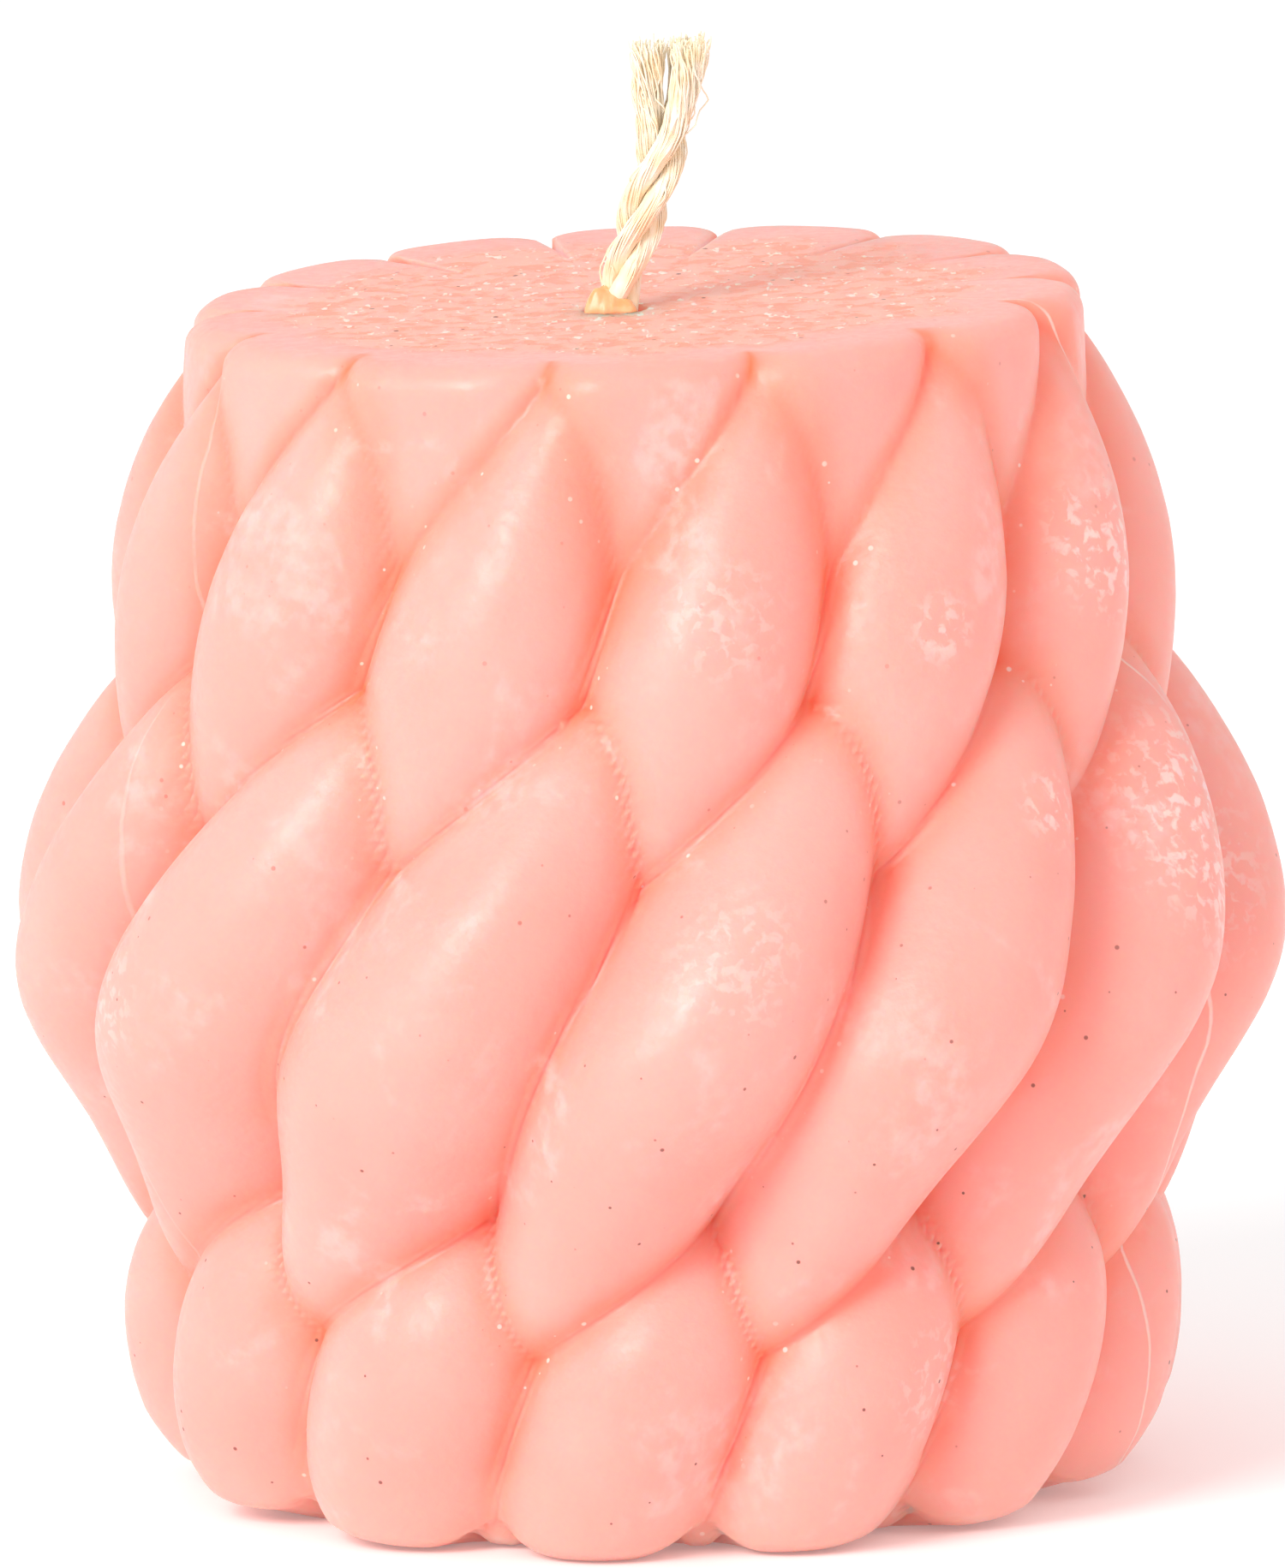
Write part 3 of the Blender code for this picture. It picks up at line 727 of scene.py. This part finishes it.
wax = wax_finish()
casting = run_tree(
    "candle_wax",
    bpy.data.meshes.new("wax_start"),
    lobed_tree(),
    {
        "Columns": 30 * LOBES_PER_ROW, "Levels": 190, "Height": HEIGHT, "Edge Crowding": 0.7,
        "Mesh Lean": math.radians(53.0), "Crease Softness": 0.0008, "Crease Reach": 0.0045,
        "Valley Reach": 0.0100, "Top Edge": 0.0015, "Foot Edge": 0.0016, "Foot Rise": 0.0011,
        "Rim Notch": 0.0011, "Rim Fill": 0.6, "Foot Notch": 0.0015, "Foot Fill": 1.1,
        "Foot Lift": 0.0013, "Unevenness": 0.0003, "Hand Wobble": 0.0008, "Seed": 4.0, "Wax": wax,
    },
)
cut = bmesh.new()
cut.from_mesh(casting)
cut.verts.layers.float.new("trimmed")
for vert in cut.verts:
    vert.co = carved(vert.co)
top_bore = close_end(cut, True)
foot_bore = close_end(cut, False)
for here in range(len(top_bore)):
    after = (here + 1) % len(top_bore)
    cut.faces.new((top_bore[here], top_bore[after], foot_bore[after], foot_bore[here]))
wax_slot = max(face.material_index for face in cut.faces)
for face in cut.faces:
    face.material_index = wax_slot
bmesh.ops.recalc_face_normals(cut, faces=cut.faces[:])
cut.to_mesh(casting)
cut.free()
casting.shade_smooth()
candle_wax = bpy.data.objects.new("candle_wax", casting)
bpy.context.scene.collection.objects.link(candle_wax)
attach(candle_wax, "root")
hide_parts("wax_body")


# Wick: three cotton plies twisted together, from the candle's foot to a frayed end that leans to
# the right. Each ply is a bundle of fine fibres, stiff with primer and drawn tight at the wax.
PLIES = 3
PLY_RADIUS = 0.00070
CORE_RADIUS = 0.00058
FIBRE_RADIUS = 0.000050
FIBRES_PER_PLY = 110
HELIX_RADIUS = 0.00088
LAY_LENGTH = 0.0120
FREE_LENGTH = 0.0161
SPLIT_LENGTH = 0.0058
TIP_SPREAD = 0.00068
LEAN = math.radians(19.5)
UPRIGHT_FROM = 0.0065
UPRIGHT_RADIUS = 0.0300
PATH_POINTS = 160
WICK_END_RECESS = 0.0003

# How tight the plies lie in the wax, how much of that they lose above it, and over what height
TIGHT_IN_WAX = 0.70
LOOSENED = 0.30
LOOSE_AFTER = 0.006

# What each fibre draws at random between two shares: how deep it lies in its bundle, how often it
# turns, how far it frays, where it ends and how thick it is; then how rare it is for a fibre to
# stray, and how far it does
FIBRE_DEPTH = (0.62, 1.0)
FIBRE_TURNS = (0.6, 1.4)
FIBRE_FRAY = (0.2, 1.0)
FIBRE_END = (0.965, 1.0)
FIBRE_THICKNESS = (0.6, 1.5)
STRAY_RARITY = 24.0
STRAY_REACH = 9.0

# Along the free bundle: how fast its fibres let go at its start, and how tight they are there; how
# fast and from where they fray to the tip; how much looser and thicker they are at the tip
START_RATE = 3.0
START_GAIN, START_SHARE = 0.35, 0.65
FRAY_RATE, FRAY_DELAY = 2.2, -1.2
TIP_LOOSENESS = 2.5
TIP_THICKENING = 0.35

# The pattern by which fibres wander: how fine it is, and how far apart two fibres' places in it are
WANDER_SCALE = 420.0
WANDER_STEP = 3.7

# How a fibre and a core are meshed, and where the core ends along the ply
FIBRE_POINTS = 46
FIBRE_SIDES = 5
CORE_SIDES = 12
CORE_END = 0.985


def wick_middle(height):
    """The wick's middle line: straight up the bore, then leaning, then bending upright again."""
    free = max(0.0, height - HEIGHT)
    leaned = math.tan(LEAN) * free * free / (free + 2.0 * PLY_RADIUS)
    bent = max(0.0, free - UPRIGHT_FROM)
    return WICK_FOOT.x + leaned - bent * bent / (2.0 * UPRIGHT_RADIUS), WICK_FOOT.y


def ply_path(ply):
    """The middle of one ply as a chain of points, on its helix and then spreading to its tip."""
    split = HEIGHT + FREE_LENGTH - SPLIT_LENGTH
    chain = bmesh.new()
    before = None
    for step in range(PATH_POINTS + 1):
        height = WICK_END_RECESS + (HEIGHT + FREE_LENGTH - 2 * WICK_END_RECESS) * step / PATH_POINTS
        twist = math.tau * (min(height, split) - split) / LAY_LENGTH
        angle = math.pi + twist + ply * math.tau / PLIES
        opened = max(0.0, (height - split) / SPLIT_LENGTH)
        drawn = TIGHT_IN_WAX + LOOSENED * min(1.0, max(0.0, height - HEIGHT) / LOOSE_AFTER)
        radius = HELIX_RADIUS * drawn + TIP_SPREAD * opened * (2.0 - opened)
        x, y = wick_middle(height)
        point = chain.verts.new((x + radius * math.cos(angle), y + radius * math.sin(angle), height))
        if before:
            chain.edges.new((before, point))
        before = point
    mesh = bpy.data.meshes.new("ply_path")
    chain.to_mesh(mesh)
    chain.free()
    return mesh


def fibre_tree():
    """Lays many fine fibres round a ply's path, twists them, and lets them fray at the tip."""
    tree, given = new_tree(
        "fibre_bundle",
        (
            ("Fibres", "Int"), ("Bundle Radius", "Float"), ("Fibre Radius", "Float"),
            ("Core Radius", "Float"), ("Turns", "Float"), ("Fray", "Float"), ("Wander", "Float"),
            ("Free From", "Float"), ("Seed", "Int"), ("Cotton", "Material"),
        ),
    )
    path = add_node(tree, "GeometryNodeMeshToCurve", {0: given["Geometry"]})
    free = add_node(tree, "GeometryNodeTrimCurve", {"Curve": path.outputs[0]}, mode="FACTOR")
    tree.links.new(given["Free From"], free.inputs[2])
    even = add_node(tree, "GeometryNodeResampleCurve", {"Curve": free.outputs[0], "Count": FIBRE_POINTS})
    copies = add_node(
        tree,
        "GeometryNodeDuplicateElements",
        {"Geometry": even.outputs[0], "Amount": given["Fibres"]},
        domain="SPLINE",
    )
    kept = add_node(
        tree,
        "GeometryNodeStoreNamedAttribute",
        {"Geometry": copies.outputs[0], "Name": "fibre", "Value": copies.outputs[1]},
        data_type="INT",
        domain="CURVE",
    )
    fibre = add_node(tree, "GeometryNodeInputNamedAttribute", {"Name": "fibre"}, data_type="INT")

    def fibre_random(low, high, shift):
        made = add_node(tree, "FunctionNodeRandomValue", data_type="FLOAT")
        made.inputs[2].default_value = low
        made.inputs[3].default_value = high
        tree.links.new(fibre.outputs[0], made.inputs["ID"])
        tree.links.new(reckon(tree, "ADD", given["Seed"], shift), made.inputs["Seed"])
        return made.outputs[1]

    along = add_node(tree, "GeometryNodeSplineParameter").outputs["Factor"]
    fraying = reckon(tree, "MULTIPLY_ADD", along, FRAY_RATE, FRAY_DELAY)
    towards_tip = reckon(tree, "MAXIMUM", fraying, 0.0)
    tip = reckon(tree, "POWER", towards_tip, 2.0)
    start = fibre_random(0.0, math.tau, 0.0)
    depth = fibre_random(*FIBRE_DEPTH, 1.0)
    turns = reckon(tree, "MULTIPLY", given["Turns"], fibre_random(*FIBRE_TURNS, 2.0))
    turned = reckon(tree, "MULTIPLY", reckon(tree, "MULTIPLY", turns, math.tau), along)
    angle = reckon(tree, "ADD", start, turned)
    frayed = reckon(tree, "MULTIPLY", given["Fray"], fibre_random(*FIBRE_FRAY, 3.0))
    spread = reckon(tree, "MULTIPLY_ADD", frayed, tip, 1.0)
    past_wax = reckon(tree, "MINIMUM", reckon(tree, "MULTIPLY", along, START_RATE), 1.0)
    drawn = reckon(tree, "MULTIPLY_ADD", past_wax, START_GAIN, START_SHARE)
    within = reckon(tree, "MULTIPLY", depth, given["Bundle Radius"])
    radius = reckon(tree, "MULTIPLY", reckon(tree, "MULTIPLY", within, spread), drawn)
    offset = add_node(
        tree,
        "ShaderNodeCombineXYZ",
        {
            "X": reckon(tree, "MULTIPLY", radius, reckon(tree, "COSINE", angle)),
            "Y": reckon(tree, "MULTIPLY", radius, reckon(tree, "SINE", angle)),
        },
    )
    laid = add_node(
        tree, "GeometryNodeSetPosition", {"Geometry": kept.outputs[0], "Offset": offset.outputs[0]}
    )
    place = add_node(tree, "GeometryNodeInputPosition").outputs[0]
    own = reckon(tree, "MULTIPLY", fibre.outputs[0], WANDER_STEP)
    shifted = add_node(
        tree,
        "ShaderNodeTexNoise",
        {"Vector": place, "Scale": WANDER_SCALE, "Detail": 1.0, "W": own},
        noise_dimensions="4D",
    )
    centred = add_node(
        tree,
        "ShaderNodeVectorMath",
        {0: shifted.outputs["Color"], 1: (0.5, 0.5, 0.5)},
        operation="SUBTRACT",
    )
    rare = reckon(tree, "POWER", fibre_random(0.0, 1.0, 6.0), STRAY_RARITY)
    astray = reckon(tree, "MULTIPLY", rare, STRAY_REACH)
    looser = reckon(tree, "ADD", reckon(tree, "MULTIPLY_ADD", tip, TIP_LOOSENESS, 1.0), astray)
    loose = reckon(tree, "MULTIPLY", given["Wander"], looser)
    sway = add_node(
        tree, "ShaderNodeVectorMath", {0: centred.outputs[0], "Scale": loose}, operation="SCALE"
    )
    wandering = add_node(
        tree, "GeometryNodeSetPosition", {"Geometry": laid.outputs[0], "Offset": sway.outputs[0]}
    )
    cut_short = add_node(tree, "GeometryNodeTrimCurve", {"Curve": wandering.outputs[0]}, mode="FACTOR")
    tree.links.new(fibre_random(*FIBRE_END, 4.0), cut_short.inputs[3])
    fuller = reckon(tree, "MULTIPLY_ADD", tip, TIP_THICKENING, 1.0)
    thickness = reckon(tree, "MULTIPLY", fibre_random(*FIBRE_THICKNESS, 5.0), fuller)
    thick = add_node(
        tree, "GeometryNodeSetCurveRadius", {"Curve": cut_short.outputs[0], "Radius": thickness}
    )
    section = add_node(
        tree,
        "GeometryNodeCurvePrimitiveCircle",
        {"Resolution": FIBRE_SIDES, "Radius": given["Fibre Radius"]},
    )
    fibres = add_node(
        tree,
        "GeometryNodeCurveToMesh",
        {"Curve": thick.outputs[0], "Profile Curve": section.outputs[0], "Fill Caps": True},
    )
    core_section = add_node(
        tree,
        "GeometryNodeCurvePrimitiveCircle",
        {"Resolution": CORE_SIDES, "Radius": given["Core Radius"]},
    )
    core_path = add_node(tree, "GeometryNodeTrimCurve", {"Curve": path.outputs[0]}, mode="FACTOR")
    core_path.inputs[3].default_value = CORE_END
    core = add_node(
        tree,
        "GeometryNodeCurveToMesh",
        {"Curve": core_path.outputs[0], "Profile Curve": core_section.outputs[0], "Fill Caps": True},
    )
    both = add_node(tree, "GeometryNodeJoinGeometry")
    tree.links.new(fibres.outputs[0], both.inputs[0])
    tree.links.new(core.outputs[0], both.inputs[0])
    plain = add_node(tree, "GeometryNodeRealizeInstances", {"Geometry": both.outputs[0]})
    dyed = add_node(
        tree, "GeometryNodeSetMaterial", {"Geometry": plain.outputs[0], "Material": given["Cotton"]}
    )
    add_node(tree, "NodeGroupOutput", {0: dyed.outputs[0]})
    return tree


# The two colours that the cotton streaks between, as it holds more wax or less
WAXED_COTTON = (1.0, 0.84, 0.59, 1.0)
DRY_COTTON = (1.0, 0.93, 0.78, 1.0)


def cotton_finish():
    """Cream cotton: matt, with a soft sheen and slightly darker, waxed stretches."""
    finish = bpy.data.materials.new("waxed_cotton")
    finish.use_nodes = True
    tree = finish.node_tree
    shader = tree.nodes["Principled BSDF"]
    shader.inputs["Sheen Weight"].default_value = 0.25
    place = add_node(tree, "ShaderNodeTexCoord").outputs["Object"]
    streaks = mottle(tree, place, 700.0, 3.0)
    shade = mix_colours(tree, remap(tree, streaks, 0.35, 0.65), WAXED_COTTON, DRY_COTTON)
    tree.links.new(shade, shader.inputs["Base Color"])
    rough = remap(tree, streaks, 0.3, 0.7, 0.6, 0.85)
    tree.links.new(rough, shader.inputs["Roughness"])
    return finish


cotton = cotton_finish()
bundle = fibre_tree()
for ply in range(PLIES):
    name = "cotton_ply_%d" % (ply + 1)
    strand = run_tree(
        name,
        ply_path(ply),
        bundle,
        {
            "Fibres": FIBRES_PER_PLY, "Bundle Radius": PLY_RADIUS, "Fibre Radius": FIBRE_RADIUS,
            "Core Radius": CORE_RADIUS, "Turns": -0.7, "Fray": 1.0, "Wander": 0.00036,
            "Free From": 0.80, "Seed": 11 + ply, "Cotton": cotton,
        },
    )
    strand.shade_smooth()
    piece = bpy.data.objects.new(name, strand)
    bpy.context.scene.collection.objects.link(piece)
    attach(piece, "root")
    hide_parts("wick_ply_%d" % (ply + 1))


# Bead of primer wax: an amber collar that ran down the wick and set round its foot on the top
# face. It closes the bore, and it is fuller on the left.
COLLAR_REACH = 0.0015
COLLAR_RISE = 0.0012
COLLAR_SIDES = 96
COLLAR_RINGS = 22
COLLAR_INNER_RADIUS = 0.0002
COLLAR_SHIFT = 0.0002
COLLAR_SINK = 0.00015
LEANEST_AT = 0.35

# How far out and how high it reaches where it is leanest, and how much more at its fullest, as
# shares; how steep and how round its shoulder is
COLLAR_SPREAD = (0.86, 0.24)
COLLAR_LIFT = (0.55, 0.65)
SHOULDER_STEEPNESS = 1.9
SHOULDER_ROUNDNESS = 0.6

# Folds in it: how many, which pattern and how deep; and how deep its lumpiness is
COLLAR_FOLDS = ((1.4, 2.0, 0.10), (4.0, 9.0, 0.07))
COLLAR_LUMPINESS = 0.25

# Lumps on its edge: the direction, the width and how far out each stands
COLLAR_LUMPS = ((math.radians(212.0), 0.35, 0.0004), (math.radians(312.0), 0.38, 0.0005))

# The two colours that the primer wax clouds between, and how far light travels in it
DEEP_PRIMER = (1.0, 0.41, 0.17, 1.0)
PALE_PRIMER = (1.0, 0.53, 0.28, 1.0)
PRIMER_GLOW_REACH = 0.00025
PRIMER_GLOW_COLOURS = (1.0, 0.6, 0.3)


def collar_point(angle, share):
    """A point of the collar's skin: share 0 is its edge on the top face, 1 is inside the wick."""
    left = 0.5 - 0.5 * math.cos(angle - LEANEST_AT)
    out = Vector((math.cos(angle), math.sin(angle)))
    folds = 1.0
    for scale, pattern, depth in COLLAR_FOLDS:
        folds += depth * noise.noise(Vector((out.x * scale, out.y * scale, pattern)))
    reach = COLLAR_REACH * (COLLAR_SPREAD[0] + COLLAR_SPREAD[1] * left) * folds
    for direction, width, size in COLLAR_LUMPS:
        reach += size * math.exp(-(((angle - direction) / width) ** 2))
    radius = reach * (1.0 - share) + COLLAR_INNER_RADIUS * share
    shoulder = math.sin(0.5 * math.pi * min(1.0, share * SHOULDER_STEEPNESS)) ** SHOULDER_ROUNDNESS
    rise = COLLAR_RISE * (COLLAR_LIFT[0] + COLLAR_LIFT[1] * left) * shoulder
    lumpy = noise.noise(Vector((out.x * 2.2, out.y * 2.2, share * 3.0 + 4.0)))
    rise *= 1.0 + COLLAR_LUMPINESS * lumpy
    x = WICK_FOOT.x - COLLAR_SHIFT + out.x * radius
    y = WICK_FOOT.y - COLLAR_SHIFT + out.y * radius
    return Vector((x, y, top_height(x, y) - COLLAR_SINK + rise))


def collar_mesh():
    """The collar's skin, and a floor under it just inside the wax."""
    lump = bmesh.new()
    rings = []
    for ring in range(COLLAR_RINGS + 1):
        share = ring / COLLAR_RINGS
        points = [collar_point(math.tau * side / COLLAR_SIDES, share) for side in range(COLLAR_SIDES)]
        rings.append([lump.verts.new(point) for point in points])
    for upper, lower in zip(rings, rings[1:]):
        for side in range(COLLAR_SIDES):
            after = (side + 1) % COLLAR_SIDES
            lump.faces.new((upper[side], upper[after], lower[after], lower[side]))
    lump.faces.new(rings[-1])
    lump.faces.new(rings[0][::-1])
    bmesh.ops.recalc_face_normals(lump, faces=lump.faces[:])
    mesh = bpy.data.meshes.new("primer_collar")
    lump.to_mesh(mesh)
    lump.free()
    mesh.shade_smooth()
    return mesh


def primer_finish():
    """Amber primer wax: clear enough to glow, with a soft gloss."""
    finish = bpy.data.materials.new("amber_primer")
    finish.use_nodes = True
    tree = finish.node_tree
    shader = tree.nodes["Principled BSDF"]
    shader.inputs["Subsurface Weight"].default_value = 0.5
    shader.inputs["Subsurface Radius"].default_value = PRIMER_GLOW_COLOURS
    shader.inputs["Subsurface Scale"].default_value = PRIMER_GLOW_REACH
    shader.inputs["IOR"].default_value = 1.44
    place = add_node(tree, "ShaderNodeTexCoord").outputs["Object"]
    cloud = mottle(tree, place, 900.0, 2.0)
    shade = mix_colours(tree, remap(tree, cloud, 0.35, 0.65), DEEP_PRIMER, PALE_PRIMER)
    tree.links.new(shade, shader.inputs["Base Color"])
    rough = remap(tree, cloud, 0.3, 0.7, 0.18, 0.34)
    tree.links.new(rough, shader.inputs["Roughness"])
    return finish


collar = collar_mesh()
collar.materials.append(primer_finish())
primer_collar = bpy.data.objects.new("primer_collar", collar)
bpy.context.scene.collection.objects.link(primer_collar)
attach(primer_collar, "root")
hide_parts("wick_bead")
